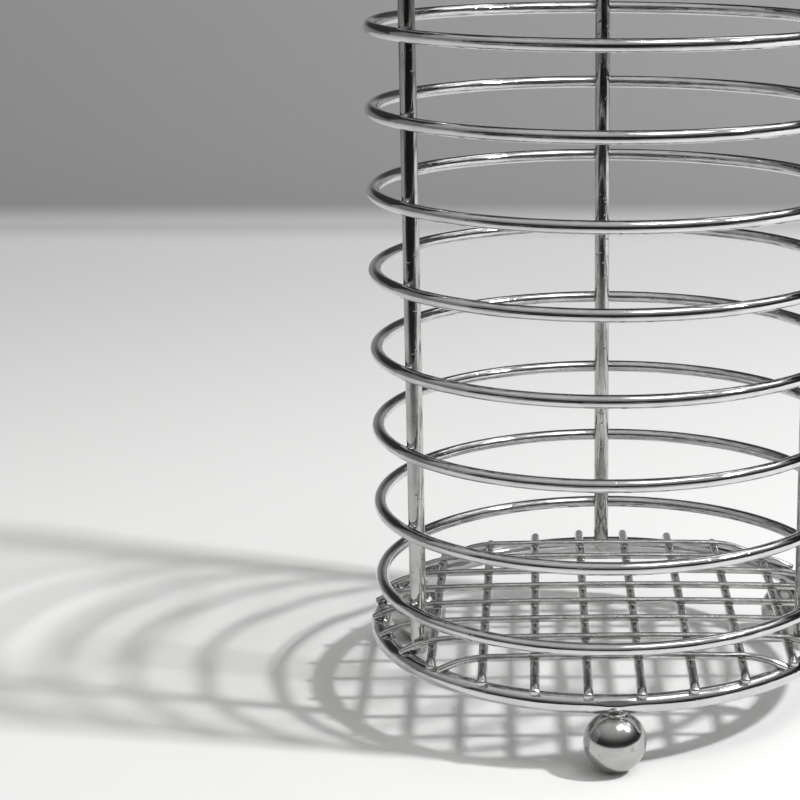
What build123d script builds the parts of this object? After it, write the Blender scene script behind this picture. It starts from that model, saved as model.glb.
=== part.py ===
from build123d import *
import math
import os

# Cutlery organizer: a tall round basket of welded round wire on three ball feet.
# Millimetres and degrees. The origin is on the table under the middle of the basket,
# +Z is up and the front, with its single ball foot, faces -Y.

# Driving dimensions of the cage
bodyDiameter = 120.0        # outside of the body rings
bodyWire = 3.2              # wire of the body rings
bodyRingCount = 8
bodyRingPitch = 20.0
firstRingRise = 13.3        # from the base ring up to the lowest body ring
rimRise = 20.0              # from the highest body ring up to the top rim
rimWire = 4.6               # wire of the top rim
baseWire = 4.6              # wire of the base ring
uprightWire = 4.0
uprightFootRise = 0.9       # lower end of an upright above the middle of the base ring
uprightHeadRise = 0.9       # upper end of an upright above the middle of the top rim
uprightTipChamfer = 0.6     # on an upright's cut ends
weldSet = 0.3               # how far two wires sink into each other at a weld

# Driving dimensions of the floor grid
longWire = 2.4              # wires that run from front to back
longCount = 8
longSideRoom = 12.7         # from the outermost long wires to the inside of the cage
crossWire = 1.8             # wires that run from side to side, on top of the long ones
crossCount = 8
crossSideRoom = 13.75       # from the outermost cross wires to the inside of the cage
floorRise = 1.2             # how much the floor is domed in the middle
longHookAngle = 40.0        # how far a long wire's end is pressed round the base ring
crossDropAngle = 25.0       # slope of a cross wire's end, down to the base ring
crossBendRadius = 4.0
crossTip = 0.6              # straight end of a cross wire past its weld

# How round things are drawn, so that a basket of this much wire stays light
wireFlats = 8               # flats round a wire
ringFlats = 48              # flats round a ring, one of them facing each upright and foot
ballFlats = 24              # flats round a ball
ballBands = 8               # corners of a ball's outline on each side, from bottom to top

# Driving dimensions of the feet
ballDiameter = 15.0
neckDiameter = 5.4          # weld neck between a ball and the base ring
ballSet = 0.4               # how far a ball sinks into the base ring at its weld
footAngles = {"foot_front": 0.0, "foot_back_right": 120.0, "foot_back_left": 240.0}
uprightAngles = {"upright_right": 60.0, "upright_back": 180.0, "upright_left": 300.0}

# Sizes that follow: all rings share one inside radius, so that an upright touches each of them
insideRadius = bodyDiameter / 2 - bodyWire
bodyRingRadius = insideRadius + bodyWire / 2
baseRingRadius = insideRadius + baseWire / 2
rimRadius = insideRadius + rimWire / 2
uprightRadius = insideRadius + weldSet - uprightWire / 2
baseZ = ballDiameter - ballSet + baseWire / 2
ringHeights = [baseZ + firstRingRise + i * bodyRingPitch for i in range(bodyRingCount)]
rimZ = ringHeights[-1] + rimRise

# The long wires' centres lie on a shallow sphere, and the cross wires' on a concentric one above it
longHookRadius = baseWire / 2 + longWire / 2 - weldSet
crossSeatRadius = baseWire / 2 + crossWire / 2 - weldSet
floorSphere = (baseRingRadius**2 + floorRise**2) / (2 * floorRise)
floorCentreZ = baseZ + longHookRadius + floorRise - floorSphere
crossSphere = floorSphere + longWire / 2 + crossWire / 2


def onCircle(radius, angle):
    # a point of a level circle; the angle runs from the front towards the right
    turn = math.radians(angle)
    return radius * math.sin(turn), -radius * math.cos(turn)


def eightSided(wire):
    # round wire drawn as an eight-sided bar: its flats are as far apart as the wire is thick
    return RegularPolygon(wire / 2, wireFlats, major_radius=False, rotation=180 / wireFlats)


def flatStack(levels, flats):
    # body of flat faces through many-sided outlines, given as (height, radius) from below
    rows = []
    for z, radius in levels:
        corner = radius / math.cos(math.pi / flats)
        turns = [2 * math.pi * (i + 0.5) / flats for i in range(flats)]
        rows.append([(corner * math.cos(turn), corner * math.sin(turn), z) for turn in turns])
    outlines = [rows[0], rows[-1]]
    for low, high in zip(rows, rows[1:]):
        for i in range(flats):
            outlines.append([low[i - 1], low[i], high[i], high[i - 1]])
    return Solid(Shell([Face(Wire.make_polygon(points)) for points in outlines]))


def wireRing(radius, wire, height):
    # ring of eight-sided wire: the bevelled outside with the bevelled inside taken away
    half = wire / 2
    flat = half * math.tan(math.radians(180 / wireFlats))
    heights = [height - half, height - flat, height + flat, height + half]
    steps = [flat, half, half, flat]
    outside = flatStack([(z, radius + step) for z, step in zip(heights, steps)], ringFlats)
    inside = flatStack([(z, radius - step) for z, step in zip(heights, steps)], ringFlats)
    return outside - inside


def makeBall(diameter):
    # ball drawn with flat bands, standing on a small flat at height 0
    step = math.pi / (2 * ballBands)
    corner = diameter / 2 / math.cos(step)
    turns = [step * (2 * i + 1) for i in range(ballBands)]
    levels = [(diameter / 2 - corner * math.cos(t), corner * math.sin(t)) for t in turns]
    return flatStack(levels, ballFlats)


def spaced(count, sideRoom):
    # even places across the floor, the outermost ones sideRoom away from the cage
    reach = insideRadius - sideRoom
    return [reach * (2 * i / (count - 1) - 1) for i in range(count)]


def largest(shape):
    # a wire that runs into an upright stops there, so its longest piece is the one that stays
    return max(shape.solids(), key=lambda solid: solid.volume)


def bentWire(plane, path, thickness):
    # sweep a wire along a path drawn in the given plane
    run = plane * path
    section = Plane(run @ 0, x_dir=plane.z_dir, z_dir=run % 0) * eightSided(thickness)
    return sweep(section, path=run)


def turnDown(start, heading, radius, angle):
    # arc that goes on from start and turns down by angle; heading is its first slope downwards
    centreX = start[0] - radius * math.sin(math.radians(heading))
    centreZ = start[1] - radius * math.cos(math.radians(heading))

    def at(slope):
        turn = math.radians(slope)
        return centreX + radius * math.sin(turn), centreZ + radius * math.cos(turn)

    return at(heading + angle / 2), at(heading + angle)


def mirrored(point):
    return -point[0], point[1]


def longPath(x):
    # along the sphere from ring to ring, then hooked down over the base ring at both ends
    arcRadius = math.sqrt(floorSphere**2 - x**2)
    half = math.sqrt(baseRingRadius**2 - x**2)
    end = (half, floorCentreZ + math.sqrt(arcRadius**2 - half**2))
    slope = math.degrees(math.asin(half / arcRadius))
    hookMiddle, tip = turnDown(end, slope, longHookRadius, longHookAngle)
    return Wire([
        ThreePointArc(mirrored(tip), mirrored(hookMiddle), mirrored(end)),
        ThreePointArc(mirrored(end), (0, floorCentreZ + arcRadius), end),
        ThreePointArc(end, hookMiddle, tip),
    ])


def crossPath(y):
    # over the long wires, then a bend and a straight slope that meets the base ring's shoulder
    arcRadius = math.sqrt(crossSphere**2 - y**2)
    half = math.sqrt(baseRingRadius**2 - y**2)
    drop = math.radians(crossDropAngle)
    seat = (half + crossSeatRadius * math.sin(drop), baseZ + crossSeatRadius * math.cos(drop))
    tip = (seat[0] + crossTip * math.cos(drop), seat[1] - crossTip * math.sin(drop))
    # the bend is tangent to the arc over the long wires and to the slope: its centre lies
    # crossBendRadius inside both, so it is found along the slope's inner parallel
    inner = arcRadius - crossBendRadius
    footX = seat[0] - crossBendRadius * math.sin(drop)
    footZ = seat[1] - crossBendRadius * math.cos(drop) - floorCentreZ
    back = footX * math.cos(drop) - footZ * math.sin(drop)
    spare = inner**2 - (footX**2 + footZ**2) + back**2
    along = back + math.sqrt(spare)
    centre = (footX - along * math.cos(drop), footZ + along * math.sin(drop) + floorCentreZ)
    slope = math.degrees(math.atan2(centre[0], centre[1] - floorCentreZ))
    outward = (math.sin(math.radians(slope)), math.cos(math.radians(slope)))
    start = (centre[0] + crossBendRadius * outward[0], centre[1] + crossBendRadius * outward[1])
    bendMiddle, bendEnd = turnDown(start, slope, crossBendRadius, crossDropAngle - slope)
    return Wire([
        Line(mirrored(tip), mirrored(bendEnd)),
        ThreePointArc(mirrored(bendEnd), mirrored(bendMiddle), mirrored(start)),
        ThreePointArc(mirrored(start), (0, floorCentreZ + arcRadius), start),
        ThreePointArc(start, bendMiddle, bendEnd),
        Line(bendEnd, tip),
    ])


def makeUpright(angle, rings):
    # a straight bar with one flat towards the rings, notched where they are welded on
    x, y = onCircle(uprightRadius, angle)
    low = baseZ + uprightFootRise
    high = rimZ + uprightHeadRise
    bar = extrude(Pos(x, y, low) * Rot(0, 0, angle) * eightSided(uprightWire), high - low)
    tips = bar.faces().filter_by(Axis.Z)
    return chamfer(tips.edges(), uprightTipChamfer) - rings


def makeFoot(angle, baseRing):
    # a ball and the weld neck that joins it to the base ring
    neck = extrude(Pos(0, 0, ballDiameter / 2) * eightSided(neckDiameter), baseZ - ballDiameter / 2)
    x, y = onCircle(baseRingRadius, angle)
    return largest(Pos(x, y, 0) * Rot(0, 0, angle) * (makeBall(ballDiameter) + neck) - baseRing)


parts = {}
parts["base_ring"] = wireRing(baseRingRadius, baseWire, baseZ)
for number, height in enumerate(ringHeights, start=1):
    parts[f"body_ring_{number}"] = wireRing(bodyRingRadius, bodyWire, height)
parts["top_rim"] = wireRing(rimRadius, rimWire, rimZ)
rings = list(parts.values())

for name, angle in uprightAngles.items():
    parts[name] = makeUpright(angle, rings)
uprights = [parts[name] for name in uprightAngles]

for number, x in enumerate(spaced(longCount, longSideRoom), start=1):
    plane = Plane(origin=(x, 0, 0), x_dir=(0, 1, 0), z_dir=(1, 0, 0))
    wire = bentWire(plane, longPath(x), longWire)
    parts[f"floor_long_{number}"] = largest(wire - parts["base_ring"] - uprights)

for number, y in enumerate(spaced(crossCount, crossSideRoom), start=1):
    plane = Plane(origin=(0, y, 0), x_dir=(1, 0, 0), z_dir=(0, -1, 0))
    wire = bentWire(plane, crossPath(y), crossWire)
    parts[f"floor_cross_{number}"] = largest(wire - parts["base_ring"] - uprights)

for name, angle in footAngles.items():
    parts[name] = makeFoot(angle, parts["base_ring"])

os.makedirs("parts", exist_ok=True)
for name, part in parts.items():
    export_step(part, f"parts/{name}.step")
print(len(parts), "parts written")
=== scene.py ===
import math

import bmesh
import bpy
from mathutils import Matrix, Vector


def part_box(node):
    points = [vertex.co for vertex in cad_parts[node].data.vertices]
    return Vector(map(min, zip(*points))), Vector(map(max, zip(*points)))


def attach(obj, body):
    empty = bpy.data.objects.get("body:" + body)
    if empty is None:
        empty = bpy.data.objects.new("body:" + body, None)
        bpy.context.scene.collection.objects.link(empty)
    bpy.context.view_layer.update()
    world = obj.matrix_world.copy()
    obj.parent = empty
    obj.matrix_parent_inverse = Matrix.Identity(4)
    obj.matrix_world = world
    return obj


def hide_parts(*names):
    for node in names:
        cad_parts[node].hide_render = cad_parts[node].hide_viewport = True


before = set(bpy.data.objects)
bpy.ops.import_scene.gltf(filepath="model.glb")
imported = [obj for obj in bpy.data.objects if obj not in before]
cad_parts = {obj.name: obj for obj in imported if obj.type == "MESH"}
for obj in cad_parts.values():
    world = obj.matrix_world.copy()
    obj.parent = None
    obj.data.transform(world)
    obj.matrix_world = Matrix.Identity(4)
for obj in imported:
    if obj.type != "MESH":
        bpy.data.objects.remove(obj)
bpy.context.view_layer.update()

mm = 0.001
print("frame loaded:", len(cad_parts), "wire parts")


# Plating: colours and marks of the bright chrome, shared by every wire and ball; the uprights, floor
# wires and balls get darker copies of it, which is painted shade

platingSetup = {
    # polish and haze are the roughness of clean and worn spots; the bump is in millimetres
    "cageChrome": {
        "bright": (0.66, 0.665, 0.67, 1), "dull": (0.50, 0.505, 0.515, 1),
        "polish": 0.05, "haze": 0.16, "lineScale": 2.6, "lineRun": 0.035, "lineDepth": 0.9,
        "smudgeScale": 90, "pitScale": 700, "pitAmount": 0.5, "bump": 0.10,
    },
    # painted shade: the uprights' plating is the cage chrome made darker, bright and dull tones
    # alike
    "uprightShadedChrome": {
        "bright": (0.50, 0.495, 0.485, 1), "dull": (0.26, 0.257, 0.25, 1),
        "polish": 0.07, "haze": 0.20, "lineScale": 2.0, "lineRun": 0.05, "lineDepth": 1.0,
        "smudgeScale": 110, "pitScale": 700, "pitAmount": 0.6, "bump": 0.14,
    },
    # painted shade: the floor wires' plating is the cage chrome made darker
    "floorShadedChrome": {
        "bright": (0.60, 0.597, 0.59, 1), "dull": (0.34, 0.338, 0.335, 1),
        "polish": 0.07, "haze": 0.22, "lineScale": 2.2, "lineRun": 0.06, "lineDepth": 1.0,
        "smudgeScale": 160, "pitScale": 900, "pitAmount": 0.7, "bump": 0.14,
    },
    # painted shade: the balls' plating is the cage chrome made darker
    "ballShadedChrome": {
        "bright": (0.50, 0.497, 0.49, 1), "dull": (0.36, 0.357, 0.35, 1),
        "polish": 0.14, "haze": 0.26, "lineScale": 0.8, "lineRun": 0.8, "lineDepth": 0.15,
        "smudgeScale": 120, "pitScale": 600, "pitAmount": 0.8, "bump": 0.05,
    },
    "weldChrome": {
        "bright": (0.58, 0.575, 0.56, 1), "dull": (0.25, 0.245, 0.24, 1),
        "polish": 0.10, "haze": 0.38, "lineScale": 1.2, "lineRun": 1.2, "lineDepth": 0.6,
        "smudgeScale": 700, "pitScale": 1500, "pitAmount": 1.0, "bump": 0.30,
    },
}


wearSetup = {
    "lineDetail": 3.0, "lineRoughness": 0.55,
    "smudgeDetail": 4.0, "smudgeRoughness": 0.6,
    "smudgeFrom": 0.42, "smudgeTo": 0.68,    # grey values between which a smudge fades in
    "smudgeAmount": 0.6,
    "pitDetail": 1.0, "pitRoughness": 0.4,
    "pitFrom": 0.66, "pitTo": 0.76,
    "pitDepth": 0.4,
}


def addGroup(name, inputs, outputs):
    group = bpy.data.node_groups.new(name, "ShaderNodeTree")
    for label, kind, value in inputs:
        socket = group.interface.new_socket(label, in_out="INPUT", socket_type=kind)
        socket.default_value = value
    for label, kind in outputs:
        group.interface.new_socket(label, in_out="OUTPUT", socket_type=kind)
    return group, group.nodes.new("NodeGroupInput"), group.nodes.new("NodeGroupOutput")


def addNode(tree, kind, links=(), **values):
    # a node with its plain values set; links are (input name or number, output socket)
    node = tree.nodes.new(kind)
    for name, value in values.items():
        setattr(node, name, value)
    for place, socket in links:
        tree.links.new(socket, node.inputs[place])
    return node


def addMath(tree, operation, first, second):
    node = tree.nodes.new("ShaderNodeMath")
    node.operation = operation
    for place, value in enumerate((first, second)):
        if isinstance(value, (int, float)):
            node.inputs[place].default_value = value
        else:
            tree.links.new(value, node.inputs[place])
    return node.outputs[0]


def addNoise(tree, vector, scale, detail, roughness):
    node = tree.nodes.new("ShaderNodeTexNoise")
    tree.links.new(vector, node.inputs["Vector"])
    if isinstance(scale, (int, float)):
        node.inputs["Scale"].default_value = scale
    else:
        tree.links.new(scale, node.inputs["Scale"])
    node.inputs["Detail"].default_value = detail
    node.inputs["Roughness"].default_value = roughness
    return node.outputs["Fac"]


def spread(tree, value, low, high):
    # stretch a grey value so that low becomes 0 and high becomes 1
    node = tree.nodes.new("ShaderNodeMapRange")
    node.interpolation_type = "SMOOTHSTEP"
    tree.links.new(value, node.inputs["Value"])
    node.inputs["From Min"].default_value = low
    node.inputs["From Max"].default_value = high
    return node.outputs["Result"]


def makePlatingGroup():
    # drawn lines along the wire, faint smudges and small pits, as colour, roughness and height
    group, given, result = addGroup(
        "drawnPlating",
        [
            ("Bright", "NodeSocketColor", (0.65, 0.65, 0.65, 1)),
            ("Dull", "NodeSocketColor", (0.5, 0.5, 0.5, 1)),
            ("Polish", "NodeSocketFloat", 0.06),
            ("Haze", "NodeSocketFloat", 0.18),
            ("Line Scale", "NodeSocketFloat", 2.5),
            ("Line Run", "NodeSocketFloat", 0.04),
            ("Line Depth", "NodeSocketFloat", 1.0),
            ("Smudge Scale", "NodeSocketFloat", 90.0),
            ("Pit Scale", "NodeSocketFloat", 700.0),
            ("Pit Amount", "NodeSocketFloat", 0.5),
        ],
        [
            ("Colour", "NodeSocketColor"),
            ("Roughness", "NodeSocketFloat"),
            ("Height", "NodeSocketFloat"),
        ],
    )
    wire = addNode(group, "ShaderNodeAttribute", attribute_name="wireMap")
    place = addNode(group, "ShaderNodeTexCoord")
    split = addNode(group, "ShaderNodeSeparateXYZ", [("Vector", wire.outputs["Vector"])])
    lineScale = given.outputs["Line Scale"]
    around = [addMath(group, "MULTIPLY", split.outputs[i], lineScale) for i in (0, 1)]
    along = addMath(group, "MULTIPLY", split.outputs[2], given.outputs["Line Run"])
    drawn = addNode(group, "ShaderNodeCombineXYZ", [(0, around[0]), (1, around[1]), (2, along)])
    lines = addNoise(
        group, drawn.outputs[0], 1.0, wearSetup["lineDetail"], wearSetup["lineRoughness"],
    )
    smudges = addNoise(
        group, place.outputs["Object"], given.outputs["Smudge Scale"],
        wearSetup["smudgeDetail"], wearSetup["smudgeRoughness"],
    )
    smudgeMask = spread(group, smudges, wearSetup["smudgeFrom"], wearSetup["smudgeTo"])
    pits = addNoise(
        group, place.outputs["Object"], given.outputs["Pit Scale"],
        wearSetup["pitDetail"], wearSetup["pitRoughness"],
    )
    pitSpots = spread(group, pits, wearSetup["pitFrom"], wearSetup["pitTo"])
    pitMask = addMath(group, "MULTIPLY", pitSpots, given.outputs["Pit Amount"])
    smudged = addMath(group, "MULTIPLY", smudgeMask, wearSetup["smudgeAmount"])
    worn = addMath(group, "MAXIMUM", smudged, pitMask)
    # a Mix node's colours are its inputs 6 and 7, its plain values 2 and 3
    colour = addNode(group, "ShaderNodeMix", data_type="RGBA")
    group.links.new(worn, colour.inputs["Factor"])
    group.links.new(given.outputs["Bright"], colour.inputs[6])
    group.links.new(given.outputs["Dull"], colour.inputs[7])
    rough = addNode(group, "ShaderNodeMix", data_type="FLOAT")
    group.links.new(worn, rough.inputs["Factor"])
    group.links.new(given.outputs["Polish"], rough.inputs[2])
    group.links.new(given.outputs["Haze"], rough.inputs[3])
    lineHeight = addMath(group, "MULTIPLY", lines, given.outputs["Line Depth"])
    pitHeight = addMath(group, "MULTIPLY", pitMask, wearSetup["pitDepth"])
    height = addMath(group, "SUBTRACT", lineHeight, pitHeight)
    group.links.new(colour.outputs[2], result.inputs["Colour"])
    group.links.new(rough.outputs[0], result.inputs["Roughness"])
    group.links.new(height, result.inputs["Height"])
    return group


platingGroup = makePlatingGroup()


def makePlating(name):
    setup = platingSetup[name]
    material = bpy.data.materials.new(name)
    material.use_nodes = True
    tree = material.node_tree
    shader = tree.nodes["Principled BSDF"]
    plating = tree.nodes.new("ShaderNodeGroup")
    plating.node_tree = platingGroup
    for label, key in (
        ("Bright", "bright"), ("Dull", "dull"), ("Polish", "polish"), ("Haze", "haze"),
        ("Line Scale", "lineScale"), ("Line Run", "lineRun"), ("Line Depth", "lineDepth"),
        ("Smudge Scale", "smudgeScale"), ("Pit Scale", "pitScale"), ("Pit Amount", "pitAmount"),
    ):
        plating.inputs[label].default_value = setup[key]
    bump = tree.nodes.new("ShaderNodeBump")
    bump.inputs["Strength"].default_value = 1.0
    bump.inputs["Distance"].default_value = setup["bump"] * mm
    tree.links.new(plating.outputs["Height"], bump.inputs["Height"])
    tree.links.new(plating.outputs["Colour"], shader.inputs["Base Color"])
    tree.links.new(plating.outputs["Roughness"], shader.inputs["Roughness"])
    tree.links.new(bump.outputs["Normal"], shader.inputs["Normal"])
    shader.inputs["Metallic"].default_value = 1.0
    return material


materials = {name: makePlating(name) for name in platingSetup}
print("plating made:", ", ".join(materials))


# Mesh building: each piece is one mesh of closed round forms

roundSetup = {
    "wireSides": 24,      # corners round a wire
    "capSteps": 6,        # bands of a rounded wire end
    "capDepth": 0.6,      # length of a rounded end, as a share of the wire's radius
    "capStop": 0.35,      # share of a band left out at the tip, so that a small flat stays
    "capShrink": 0.85,    # how far the tip closes
    "dropSteps": 10,      # bands of a weld drop from pole to pole
    "dropSides": 18,      # corners round a weld drop
    "bendStep": 4.0,      # degrees between points on a tight bend
    "runStep": 1.5 * mm,  # between points on a long run
}
platedFace, weldFace = 0, 1    # material numbers that every piece uses


class PieceMesh:
    # collects vertices, faces, wire coordinates and material numbers for one piece

    def __init__(self):
        self.points = []
        self.faces = []
        self.wireMap = []
        self.kinds = []

    def addRow(self, row, mapRow):
        start = len(self.points)
        self.points += row
        self.wireMap += mapRow
        return start

    def addFace(self, corners, kind):
        self.faces.append(corners)
        self.kinds.append(kind)

    def joinRows(self, first, second, count, kind):
        for i in range(count):
            k = (i + 1) % count
            self.addFace((first + i, first + k, second + k, second + i), kind)

    def build(self, name, plating):
        mesh = bpy.data.meshes.new(name)
        mesh.from_pydata([tuple(p) for p in self.points], [], self.faces)
        attribute = mesh.attributes.new("wireMap", "FLOAT_VECTOR", "POINT")
        attribute.data.foreach_set("vector", [c for row in self.wireMap for c in row])
        mesh.materials.append(materials[plating])
        mesh.materials.append(materials["weldChrome"])
        mesh.polygons.foreach_set("material_index", self.kinds)
        mesh.polygons.foreach_set("use_smooth", [True] * len(mesh.polygons))
        mesh.update()
        shape = bmesh.new()
        shape.from_mesh(mesh)
        bmesh.ops.recalc_face_normals(shape, faces=shape.faces)
        shape.to_mesh(mesh)
        shape.free()
        piece = bpy.data.objects.new(name, mesh)
        bpy.context.scene.collection.objects.link(piece)
        return piece


def addWire(mesh, path, wire, side, closed=False, widths=None, sides=roundSetup["wireSides"]):
    # round wire along path; side is the steady direction across a flat path's plane
    count = len(path)
    rows = []
    run = 0.0
    half = wire / 2
    for i, point in enumerate(path):
        before = path[i - 1] if closed or i else point
        after = path[(i + 1) % count] if closed or i < count - 1 else point
        ahead = (after - before).normalized()
        up = side.cross(ahead).normalized()
        run += (point - path[i - 1]).length / mm if i else 0.0
        wide, thick = widths[i] if widths else (1.0, 1.0)
        rows.append((point, ahead, up, half * wide, half * thick, run))
    if closed:
        whole = run + (path[0] - path[-1]).length / mm
        rows = [(p, a, u, w, t, min(r, whole - r)) for p, a, u, w, t, r in rows]
    else:
        rows = roundEnds(rows)
    starts = []
    for point, ahead, up, wide, thick, run in rows:
        turns = [2 * math.pi * k / sides for k in range(sides)]
        row = [point + side * wide * math.cos(t) + up * thick * math.sin(t) for t in turns]
        starts.append(mesh.addRow(row, [(math.cos(t), math.sin(t), run) for t in turns]))
    for first, second in zip(starts, starts[1:]):
        mesh.joinRows(first, second, sides, platedFace)
    if closed:
        mesh.joinRows(starts[-1], starts[0], sides, platedFace)
    else:
        mesh.addFace(tuple(range(starts[0], starts[0] + sides)), platedFace)
        mesh.addFace(tuple(range(starts[-1], starts[-1] + sides)), platedFace)


def roundEnds(rows):
    # bring both cut ends of a wire in over a short rounded edge
    steps = roundSetup["capSteps"]
    depth = roundSetup["capDepth"]
    before, after = [], []
    for k in range(steps):
        turn = math.radians(90 * (k + 1) / (steps + roundSetup["capStop"]))
        shrink = 1 - roundSetup["capShrink"] * (1 - math.cos(turn))
        reach = depth * math.sin(turn)
        point, ahead, up, wide, thick, run = rows[0]
        before.append((point - ahead * reach * thick, ahead, up, wide * shrink, thick * shrink, run))
        point, ahead, up, wide, thick, run = rows[-1]
        after.append((point + ahead * reach * thick, ahead, up, wide * shrink, thick * shrink, run))
    return before[::-1] + rows + after


def addDrop(mesh, centre, radii, axes):
    # weld metal: a flattened drop whose three radii follow the three axes
    steps, sides = roundSetup["dropSteps"], roundSetup["dropSides"]
    starts = []
    for step in range(1, steps):
        tilt = math.pi * step / steps
        row, mapRow = [], []
        for k in range(sides):
            turn = 2 * math.pi * k / sides
            level = math.sin(tilt)
            unit = (level * math.cos(turn), level * math.sin(turn), math.cos(tilt))
            offset = sum((axes[n] * radii[n] * unit[n] for n in range(3)), Vector())
            row.append(centre + offset)
            mapRow.append(unit)
        starts.append(mesh.addRow(row, mapRow))
    for first, second in zip(starts, starts[1:]):
        mesh.joinRows(first, second, sides, weldFace)
    for start, way in ((starts[0], 1), (starts[-1], -1)):
        pole = mesh.addRow([centre + axes[2] * radii[2] * way], [(0, 0, way)])
        for k in range(sides):
            mesh.addFace((start + k, start + (k + 1) % sides, pole), weldFace)


def finishPiece(piece, node):
    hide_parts(node)
    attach(piece, "root")
    return piece


def direction(turn):
    # outward direction at an angle that runs from the front towards the right
    return Vector((math.sin(turn), -math.cos(turn), 0))


upAxis = Vector((0, 0, 1))


# Sizes read from the frame

def readRing(node):
    low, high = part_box(node)
    wire = high.z - low.z
    return {"wire": wire, "radius": (high.x - low.x) / 2 - wire / 2, "z": (high.z + low.z) / 2}


ringNodes = ["base_ring"] + [f"body_ring_{n}" for n in range(1, 9)] + ["top_rim"]
rings = {node: readRing(node) for node in ringNodes}
baseRing = rings["base_ring"]


# Rings of the cage

ringSetup = {
    "segments": 240,          # corners of a ring's path
    "baseSegments": 480,      # the base ring is finer, because its marks are small
    "baseSides": 56,
    "markTilt": 24.0,         # how far up the outside the electrode marks face, degrees
    "markDepth": 0.14 * mm,   # how far the marks are pressed into the base ring
}


def pressMarks(mesh, ring, footTurns):
    # the welding electrode leaves a small flat above each ball foot
    tilt = math.radians(ringSetup["markTilt"])
    for turn in footTurns:
        facing = direction(turn) * math.cos(tilt) + upAxis * math.sin(tilt)
        middle = direction(turn) * ring["radius"] + upAxis * ring["z"]
        flat = middle.dot(facing) + ring["wire"] / 2 - ringSetup["markDepth"]
        for i, point in enumerate(mesh.points):
            above = point.dot(facing) - flat
            if above > 0:
                mesh.points[i] = point - facing * above


def makeRing(node, name, footTurns=()):
    ring = rings[node]
    count, sides = ringSetup["segments"], roundSetup["wireSides"]
    if footTurns:
        count, sides = ringSetup["baseSegments"], ringSetup["baseSides"]
    mesh = PieceMesh()
    start = math.pi    # the drawn lines meet at the back
    turns = [start + 2 * math.pi * i / count for i in range(count)]
    path = [direction(t) * ring["radius"] + upAxis * ring["z"] for t in turns]
    addWire(mesh, path, ring["wire"], upAxis, closed=True, sides=sides)
    pressMarks(mesh, ring, footTurns)
    return finishPiece(mesh.build(name, "cageChrome"), node)


footNodes = ["foot_front", "foot_back_right", "foot_back_left"]
footTurns = [math.radians(a) for a in (0, 120, 240)]
makeRing("base_ring", "baseRing", footTurns)
for number in range(1, 9):
    makeRing(f"body_ring_{number}", f"bodyRing{number}")
makeRing("top_rim", "topRim")
print("rings made:", len(rings))


# Straight uprights, welded to the inside of every ring

uprightSetup = {
    "endRoom": 0.25,          # from the solid's end to the start of the rounding, in wires
    "weldWidth": 1.5 * mm,    # weld between an upright and a ring
    "weldThrough": 0.9 * mm,
    "weldLength": 1.5 * mm,   # up and down the upright
}


def makeUpright(node, name):
    low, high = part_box(node)
    middle = (low + high) / 2
    outward = Vector((middle.x, middle.y, 0)).normalized()
    backLow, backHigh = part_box("upright_back")    # this box is as wide as the wire
    wire = backHigh.x - backLow.x
    across = upAxis.cross(outward)
    foot = Vector((middle.x, middle.y, low.z + wire * uprightSetup["endRoom"]))
    head = Vector((middle.x, middle.y, high.z - wire * uprightSetup["endRoom"]))
    steps = int((head.z - foot.z) / roundSetup["runStep"])
    path = [foot.lerp(head, i / steps) for i in range(steps + 1)]
    mesh = PieceMesh()
    addWire(mesh, path, wire, across)
    radii = [uprightSetup[key] for key in ("weldWidth", "weldThrough", "weldLength")]
    for ring in rings.values():
        touch = outward * (ring["radius"] - ring["wire"] / 2) + upAxis * ring["z"]
        addDrop(mesh, touch, radii, (across, outward, upAxis))
    return finishPiece(mesh.build(name, "uprightShadedChrome"), node)


for side in ("right", "back", "left"):
    makeUpright(f"upright_{side}", f"upright{side.capitalize()}")
print("uprights made: 3")


# Floor grid: domed, long wires hooked over the base ring, cross wires bent down to it

floorSetup = {
    "rise": 1.2 * mm,         # how much the floor is domed
    "weldSet": 0.3 * mm,      # how far the wires sink into the ring
    "hookAngle": 37.0,        # how far a long wire is pressed round the ring
    "dropAngle": 25.0,        # slope of a cross wire's end
    "bendRadius": 26.0 * mm,  # bend between a cross wire's arc and its slope
    "tip": 0.35 * mm,         # straight end past the seat
    "slopeSteps": 4,          # points on a cross wire's straight slope
    "squash": 0.08,           # how much the welded ends are flattened
    "squashRun": 1.8 * mm,
}


def readFloorWire(node, across):
    low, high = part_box(node)
    return {"offset": (low[across] + high[across]) / 2, "wire": high[across] - low[across]}


longWires = {n: readFloorWire(n, 0) for n in [f"floor_long_{i}" for i in range(1, 9)]}
crossWires = {n: readFloorWire(n, 1) for n in [f"floor_cross_{i}" for i in range(1, 9)]}
longWire = longWires["floor_long_1"]["wire"]
crossWire = crossWires["floor_cross_1"]["wire"]
hookRadius = baseRing["wire"] / 2 + longWire / 2 - floorSetup["weldSet"]
seatRadius = baseRing["wire"] / 2 + crossWire / 2 - floorSetup["weldSet"]
floorSphere = (baseRing["radius"] ** 2 + floorSetup["rise"] ** 2) / (2 * floorSetup["rise"])
floorCentreZ = baseRing["z"] + hookRadius + floorSetup["rise"] - floorSphere
crossSphere = floorSphere + longWire / 2 + crossWire / 2


def arcPoints(centre, radius, first, last, step):
    # points of an arc in the plane of the wire; angles in degrees from straight up
    count = max(2, math.ceil(abs(last - first) / step))
    turns = [math.radians(first + (last - first) * i / count) for i in range(count + 1)]
    return [(centre[0] + radius * math.sin(t), centre[1] + radius * math.cos(t)) for t in turns]


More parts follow.
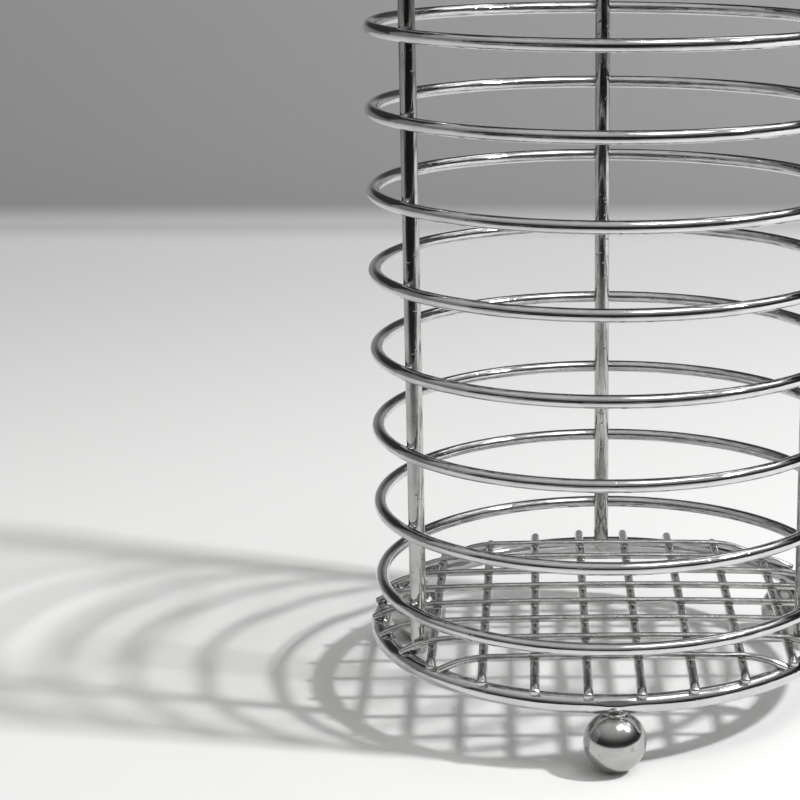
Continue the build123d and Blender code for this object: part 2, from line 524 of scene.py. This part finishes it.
def longHalf(offset):
    # right half of a long wire's path, from its middle to its tip on the ring
    arc = math.sqrt(floorSphere**2 - offset**2)
    half = math.sqrt(baseRing["radius"] ** 2 - offset**2)
    slope = math.degrees(math.asin(half / arc))
    step = math.degrees(roundSetup["runStep"] / arc)
    run = arcPoints((0, floorCentreZ), arc, 0, slope, step)
    end = run[-1]
    centre = (
        end[0] - hookRadius * math.sin(math.radians(slope)),
        end[1] - hookRadius * math.cos(math.radians(slope)),
    )
    hookEnd = slope + floorSetup["hookAngle"]
    return run + arcPoints(centre, hookRadius, slope, hookEnd, roundSetup["bendStep"])[1:]


def crossHalf(offset):
    # right half of a cross wire's path: the arc, a bend tangent to it, and a slope to the ring
    arc = math.sqrt(crossSphere**2 - offset**2)
    half = math.sqrt(baseRing["radius"] ** 2 - offset**2)
    drop = math.radians(floorSetup["dropAngle"])
    bend = floorSetup["bendRadius"]
    seat = (half + seatRadius * math.sin(drop), baseRing["z"] + seatRadius * math.cos(drop))
    inner = arc - bend
    footX = seat[0] - bend * math.sin(drop)
    footZ = seat[1] - bend * math.cos(drop) - floorCentreZ
    back = footX * math.cos(drop) - footZ * math.sin(drop)
    along = back + math.sqrt(inner**2 - (footX**2 + footZ**2) + back**2)
    centre = (footX - along * math.cos(drop), footZ + along * math.sin(drop) + floorCentreZ)
    slope = math.degrees(math.atan2(centre[0], centre[1] - floorCentreZ))
    step = math.degrees(roundSetup["runStep"] / arc)
    run = arcPoints((0, floorCentreZ), arc, 0, slope, step)
    run += arcPoints(centre, bend, slope, floorSetup["dropAngle"], roundSetup["bendStep"])[1:]
    past = floorSetup["tip"]
    tip = (seat[0] + past * math.cos(drop), seat[1] - past * math.sin(drop))
    start = run[-1]
    steps = floorSetup["slopeSteps"]
    for i in range(1, steps + 1):
        out = start[0] + (tip[0] - start[0]) * i / steps
        run.append((out, start[1] + (tip[1] - start[1]) * i / steps))
    return run


def endWidths(path):
    # the welded ends are pressed a little wider and thinner
    distances = [0.0]
    for first, second in zip(path, path[1:]):
        distances.append(distances[-1] + (second - first).length)
    whole = distances[-1]
    widths = []
    for d in distances:
        near = max(0.0, 1 - min(d, whole - d) / floorSetup["squashRun"])
        press = floorSetup["squash"] * near * near * (3 - 2 * near)
        widths.append((1 + press, 1 - press))
    return widths


def wholePath(half, place):
    # mirror the half path and set it in its plane
    points = [(-s, z) for s, z in reversed(half[1:])] + half
    return [place(s, z) for s, z in points]


gridSetup = {
    "dropWide": 1.05 * mm,    # weld metal where two floor wires cross
    "dropHigh": 0.42 * mm,
    "seatWide": 1.30 * mm,    # weld metal where a floor wire meets the base ring
    "seatHigh": 0.45 * mm,
    "seatBack": 8,            # the seat lies between a wire's tip and this path point
    "seatShare": 0.6,         # how far along it lies, from the tip
    "edgeRoom": 2.0,          # no drops this near the base ring, in thicknesses of a long wire
}


def addSeats(mesh, path, ringRadius, across):
    # weld metal between each end of a floor wire and the base ring under it
    back = gridSetup["seatBack"]
    for end, inner in ((path[0], path[back]), (path[-1], path[-1 - back])):
        level = Vector((end.x, end.y, 0))
        ringPoint = level.normalized() * ringRadius + upAxis * baseRing["z"]
        nearest = end.lerp(inner, gridSetup["seatShare"])
        away = (nearest - ringPoint).normalized()
        touch = ringPoint + away * (baseRing["wire"] / 2)
        radii = (gridSetup["seatWide"], gridSetup["seatWide"], gridSetup["seatHigh"])
        addDrop(mesh, touch, radii, (across, away.cross(across).normalized(), away))


def makeLongWire(node, number):
    offset = longWires[node]["offset"]
    path = wholePath(longHalf(offset), lambda s, z: Vector((offset, s, z)))
    across = Vector((1, 0, 0))
    mesh = PieceMesh()
    addWire(mesh, path, longWire, across, widths=endWidths(path))
    addSeats(mesh, path, baseRing["radius"], across)
    piece = mesh.build(f"floorLong{number}", "floorShadedChrome")
    return finishPiece(piece, node)


def makeCrossWire(node, number):
    offset = crossWires[node]["offset"]
    path = wholePath(crossHalf(offset), lambda s, z: Vector((s, offset, z)))
    across = Vector((0, 1, 0))
    mesh = PieceMesh()
    addWire(mesh, path, crossWire, across, widths=endWidths(path))
    addSeats(mesh, path, baseRing["radius"], across)
    reach = math.sqrt(baseRing["radius"] ** 2 - offset**2) - gridSetup["edgeRoom"] * longWire
    radii = (gridSetup["dropWide"], gridSetup["dropWide"], gridSetup["dropHigh"])
    for wire in longWires.values():
        x = wire["offset"]
        if abs(x) < reach:
            z = floorCentreZ + math.sqrt(floorSphere**2 - offset**2 - x**2) + longWire / 2
            addDrop(mesh, Vector((x, offset, z)), radii, (Vector((1, 0, 0)), across, upAxis))
    piece = mesh.build(f"floorCross{number}", "floorShadedChrome")
    return finishPiece(piece, node)


for number, node in enumerate(longWires, start=1):
    makeLongWire(node, number)
for number, node in enumerate(crossWires, start=1):
    makeCrossWire(node, number)
print("floor wires made:", len(longWires) + len(crossWires))


# Ball feet

footSetup = {
    "bands": 40,                 # bands of the ball from bottom to neck
    "sides": 72,
    "neckRadius": 2.35 * mm,
    "ballStop": 1.25,            # where the ball's outline stops, in neck radii
    "flareWide": 1.06,           # foot of the neck, in neck radii
    "flareLow": 0.12 * mm,       # heights of that foot and of its end, above the ball's outline
    "flareHigh": 0.3 * mm,
    "neckOverlap": 0.1 * mm,     # straight neck inside the ring
    "neckTop": 1.4 * mm,         # how far the neck runs up into the ring
    "topWide": 0.95,             # its top, in neck radii
    "collarRadius": 2.9 * mm,    # weld metal squeezed out under the ring
    "collarHigh": 0.7 * mm,
    "collarLift": 0.15 * mm,
    "climb": 1.9 * mm,           # weld metal that climbs the ring, outside and inside
    "climbHigh": 0.5 * mm,
    "climbSunk": 0.1 * mm,
}


def makeFoot(node, name, turn):
    low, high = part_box(node)
    radius = (high.x - low.x) / 2
    axis = direction(turn) * baseRing["radius"]
    ringBottom = baseRing["z"] - baseRing["wire"] / 2
    neck = footSetup["neckRadius"]
    neckTurn = math.acos(neck * footSetup["ballStop"] / radius)
    profile = []
    for i in range(footSetup["bands"] + 1):
        t = -math.pi / 2 + (math.pi / 2 + neckTurn) * i / footSetup["bands"]
        profile.append((radius * math.cos(t), radius + radius * math.sin(t)))
    ballTop = profile[-1][1]
    profile += [
        (neck * footSetup["flareWide"], ballTop + footSetup["flareLow"]),
        (neck, ballTop + footSetup["flareHigh"]),
        (neck, ringBottom + footSetup["neckOverlap"]),
        (neck * footSetup["topWide"], ringBottom + footSetup["neckTop"]),
    ]
    mesh = PieceMesh()
    sides = footSetup["sides"]
    starts = []
    for r, z in profile[1:]:
        turns = [2 * math.pi * k / sides for k in range(sides)]
        row = [axis + Vector((r * math.cos(t), r * math.sin(t), z)) for t in turns]
        starts.append(mesh.addRow(row, [(math.cos(t), math.sin(t), z / mm) for t in turns]))
    for first, second in zip(starts, starts[1:]):
        mesh.joinRows(first, second, sides, platedFace)
    pole = mesh.addRow([axis + upAxis * profile[0][1]], [(0, 0, 0)])
    for k in range(sides):
        mesh.addFace((starts[0] + k, starts[0] + (k + 1) % sides, pole), platedFace)
    mesh.addFace(tuple(range(starts[-1], starts[-1] + sides)), platedFace)
    outward = direction(turn)
    across = upAxis.cross(outward)
    collar = (footSetup["collarRadius"], footSetup["collarRadius"], footSetup["collarHigh"])
    collarPlace = axis + upAxis * (ringBottom + footSetup["collarLift"])
    addDrop(mesh, collarPlace, collar, (across, outward, upAxis))
    climb = (footSetup["climb"], footSetup["climb"], footSetup["climbHigh"])
    climbOut = baseRing["wire"] / 2 - footSetup["climbSunk"]
    for way in (1, -1):
        lean = (outward * way - upAxis).normalized()
        touch = axis + upAxis * baseRing["z"] + lean * climbOut
        addDrop(mesh, touch, climb, (across, lean.cross(across).normalized(), lean))
    return finishPiece(mesh.build(name, "ballShadedChrome"), node)


for node, name, turn in zip(footNodes, ("footFront", "footBackRight", "footBackLeft"), footTurns):
    makeFoot(node, name, turn)
print("ball feet made: 3")


# Studio, in metres: pale floor that sweeps up into a grey wall, soft lamps and a dim room

stageSetup = {
    "reach": 4.0,            # floor to each side and to the front
    "wallPlace": 0.706,      # where the wall starts, behind the basket
    "sweepRadius": 0.012,
    "sweepSteps": 16,
    "wallHeight": 1.6,
    "roughness": 0.75,
    "gloss": 0.2,
    "nearColour": (0.86, 0.86, 0.855, 1),
    "farShadeColour": (0.74, 0.74, 0.74, 1),
    "farFrom": -0.1,         # painted shade: the floor greys from here to farRoom before the wall
    "farRoom": 0.1,
    "edgeShadeColour": (0.50, 0.50, 0.50, 1),
    "edgeRoom": 0.07,        # painted shade of the sweep: the darker edge starts this much before the wall
    "edgePast": 0.01,
    "wallColour": (0.36, 0.36, 0.36, 1),
    "wallFull": 0.011,       # height where the wall has its own colour
    "topShadeColour": (0.04, 0.04, 0.04, 1),
    "topFrom": 0.17,         # heights between which the wall darkens towards black, painted shade
    "topFull": 0.34,
}


def makeStage():
    edge = stageSetup["wallPlace"]
    radius = stageSetup["sweepRadius"]
    reach = stageSetup["reach"]
    profile = [(-reach, 0.0)]
    for i in range(stageSetup["sweepSteps"] + 1):
        t = math.pi / 2 * i / stageSetup["sweepSteps"]
        profile.append((edge - radius + radius * math.sin(t), radius - radius * math.cos(t)))
    profile.append((edge, stageSetup["wallHeight"]))
    points = [(x, y, z) for y, z in profile for x in (-reach, reach)]
    faces = [(2 * i, 2 * i + 1, 2 * i + 3, 2 * i + 2) for i in range(len(profile) - 1)]
    mesh = bpy.data.meshes.new("studioFloor")
    mesh.from_pydata(points, [], faces)
    mesh.polygons.foreach_set("use_smooth", [True] * len(faces))
    stage = bpy.data.objects.new("studioFloor", mesh)
    bpy.context.scene.collection.objects.link(stage)
    material = bpy.data.materials.new("studioPaper")
    material.use_nodes = True
    tree = material.node_tree
    place = tree.nodes.new("ShaderNodeTexCoord")
    split = addNode(tree, "ShaderNodeSeparateXYZ", [("Vector", place.outputs["Object"])])
    colour = stageSetup["nearColour"]
    for key, axis, low, high in (
        ("farShadeColour", "Y", stageSetup["farFrom"], edge - stageSetup["farRoom"]),
        ("edgeShadeColour", "Y", edge - stageSetup["edgeRoom"], edge + stageSetup["edgePast"]),
        ("wallColour", "Z", 0.0, stageSetup["wallFull"]),
        ("topShadeColour", "Z", stageSetup["topFrom"], stageSetup["topFull"]),
    ):
        mix = addNode(tree, "ShaderNodeMix", data_type="RGBA")
        tree.links.new(spread(tree, split.outputs[axis], low, high), mix.inputs["Factor"])
        if key == "farShadeColour":
            mix.inputs[6].default_value = colour
        else:
            tree.links.new(colour, mix.inputs[6])
        mix.inputs[7].default_value = stageSetup[key]
        colour = mix.outputs[2]
    shader = tree.nodes["Principled BSDF"]
    tree.links.new(colour, shader.inputs["Base Color"])
    shader.inputs["Roughness"].default_value = stageSetup["roughness"]
    shader.inputs["Specular IOR Level"].default_value = stageSetup["gloss"]
    mesh.materials.append(material)


flagSetup = {
    # a dark card on the floor in front, which only the metal sees: a painted dark reflection of that
    # floor, which the camera sees pale
    "place": (0.70, -2.07, 0.002),    # its middle
    "size": (3.4, 3.94),
    "colour": (0.02, 0.02, 0.02, 1),
    "clearTo": 0.08,    # see-through up to this far in front of the basket's axis
    "fullFrom": 0.44,
}


def makeFlag():
    material = bpy.data.materials.new("flagDarkReflection")
    material.use_nodes = True
    tree = material.node_tree
    shader = tree.nodes["Principled BSDF"]
    shader.inputs["Base Color"].default_value = flagSetup["colour"]
    shader.inputs["Specular IOR Level"].default_value = 0.0
    place = tree.nodes.new("ShaderNodeNewGeometry")
    split = addNode(tree, "ShaderNodeSeparateXYZ", [("Vector", place.outputs["Position"])])
    front = addMath(tree, "MULTIPLY", split.outputs["Y"], -1.0)
    cover = spread(tree, front, flagSetup["clearTo"], flagSetup["fullFrom"])
    tree.links.new(cover, shader.inputs["Alpha"])
    wide, deep = (size / 2 for size in flagSetup["size"])
    corners = [(-wide, -deep, 0), (wide, -deep, 0), (wide, deep, 0), (-wide, deep, 0)]
    mesh = bpy.data.meshes.new("frontFlag")
    mesh.from_pydata(corners, [], [(0, 1, 2, 3)])
    mesh.materials.append(material)
    flag = bpy.data.objects.new("frontFlag", mesh)
    flag.location = flagSetup["place"]
    flag.visible_camera = False
    flag.visible_diffuse = False
    flag.visible_shadow = False
    bpy.context.scene.collection.objects.link(flag)


lampAim = (0, 0, 0.08)
lampSetup = {
    # power in watts
    "keyLamp": {"place": (1.02, -0.29, 1.16), "size": (0.11, 0.11), "power": 19.5},
    "windowLamp": {"place": (0.38, -0.36, 1.19), "size": (0.55, 0.34), "power": 2.4},
    "topLamp": {"place": (0.55, 0.42, 0.95), "size": (0.8, 0.35), "power": 1.6},
    "sideLamp": {"place": (-1.20, 0.10, 0.45), "size": (1.2, 0.8), "power": 0.55},
}


def makeLamps():
    aim = Vector(lampAim)
    for name, setup in lampSetup.items():
        data = bpy.data.lights.new(name, "AREA")
        data.shape = "RECTANGLE"
        data.size, data.size_y = setup["size"]
        data.energy = setup["power"]
        lamp = bpy.data.objects.new(name, data)
        lamp.location = setup["place"]
        lamp.rotation_euler = (aim - lamp.location).to_track_quat("-Z", "Y").to_euler()
        bpy.context.scene.collection.objects.link(lamp)


roomSetup = [
    # height of the direction (0 down, 0.5 level, 1 straight up) and brightness there
    (0.50, 0.02), (0.60, 0.03), (0.68, 0.08), (0.78, 0.32), (0.90, 0.58), (1.0, 0.70),
]
roomTint = (1.0, 0.995, 0.98)


def makeRoom():
    world = bpy.data.worlds.new("room")
    bpy.context.scene.world = world
    world.use_nodes = True
    tree = world.node_tree
    place = tree.nodes.new("ShaderNodeTexCoord")
    split = addNode(tree, "ShaderNodeSeparateXYZ", [("Vector", place.outputs["Generated"])])
    level = addNode(tree, "ShaderNodeMapRange", [("Value", split.outputs[2])])
    level.inputs["From Min"].default_value = -1.0
    ramp = addNode(tree, "ShaderNodeValToRGB", [("Fac", level.outputs["Result"])])
    elements = ramp.color_ramp.elements
    while len(elements) > 1:
        elements.remove(elements[-1])
    for i, (height, light) in enumerate(roomSetup):
        element = elements[0] if i == 0 else elements.new(height)
        element.position = height
        element.color = [light * tint for tint in roomTint] + [1]
    background = tree.nodes["Background"]
    tree.links.new(ramp.outputs["Color"], background.inputs["Color"])


makeStage()
makeFlag()
makeLamps()
makeRoom()
print("studio made")


# Camera, matched to the photograph

cameraSetup = {
    "distance": 521.9 * mm,   # level distance from the basket's axis
    "height": 211.1 * mm,
    "heading": 1.9,           # degrees to the right of straight back
    "pitch": 14.57,           # degrees down
    "roll": 0.23,
    "lens": 95.0,
    "sensor": 36.0,
    "shift": -0.260,          # the photograph cuts the basket off at its right edge
    "clip": (0.02, 20.0),     # nearest and farthest, metres
}


def makeCamera():
    heading = math.radians(cameraSetup["heading"])
    data = bpy.data.cameras.new("photoCamera")
    data.sensor_width = cameraSetup["sensor"]
    data.lens = cameraSetup["lens"]
    data.shift_x = cameraSetup["shift"]
    data.clip_start, data.clip_end = cameraSetup["clip"]
    camera = bpy.data.objects.new("photoCamera", data)
    bpy.context.scene.collection.objects.link(camera)
    level = cameraSetup["distance"]
    place = Vector((-level * math.sin(heading), -level * math.cos(heading), cameraSetup["height"]))
    turn = Matrix.Rotation(-heading, 4, "Z")
    tilt = Matrix.Rotation(math.radians(90 - cameraSetup["pitch"]), 4, "X")
    roll = Matrix.Rotation(math.radians(cameraSetup["roll"]), 4, "Z")
    camera.matrix_world = Matrix.Translation(place) @ turn @ tilt @ roll
    bpy.context.scene.camera = camera


makeCamera()
bpy.context.scene.view_settings.view_transform = "Standard"
print("camera made")
